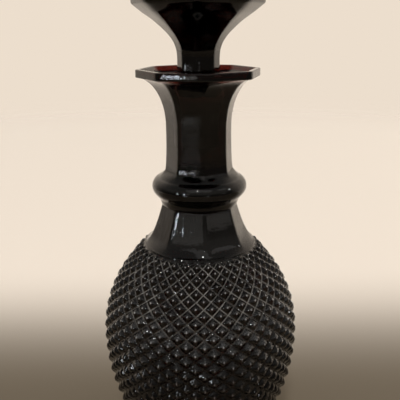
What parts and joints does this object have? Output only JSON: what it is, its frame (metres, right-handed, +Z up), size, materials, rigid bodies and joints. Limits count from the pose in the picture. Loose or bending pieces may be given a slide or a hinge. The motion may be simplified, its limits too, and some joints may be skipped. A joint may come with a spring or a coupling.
{
  "type": "stoppered glass decanter",
  "caption": "Dark ruby glass decanter with flared octagonal lip and neck, round ring, diamond-point egg-shaped body and a loose flared octagonal glass stopper.",
  "frame": {"origin": "middle of the standing ring under the foot, on the bottle's axis", "axes": "+Z up along the bottle's axis, -Y towards one upright edge of the octagonal neck, +X to the right when looking along +Y"},
  "size_m": [0.1064, 0.1064, 0.2508],
  "materials": {
    "bottle_glass": "dark ruby pressed glass, fire polished",
    "stopper_glass": "dark ruby pressed glass, fire polished",
    "sleeve_polymer": "translucent off-white moulded polymer"
  },
  "bodies": {
    "bottle": {"bottle": "bottle_glass"},
    "sleeve": {"stopper_sleeve": "sleeve_polymer"},
    "stopper": {"stopper": "stopper_glass"}
  },
  "joints": [
    {"name": "stopper_lift", "type": "slide", "parent": "bottle", "child": "sleeve", "axis": [0, 0, 1], "range_m": [0, 0.06]},
    {"name": "stopper_turn", "type": "hinge", "parent": "sleeve", "child": "stopper", "pos_m": [0, 0, 0.2], "axis": [0, 0, 1], "continuous": true}
  ]
}
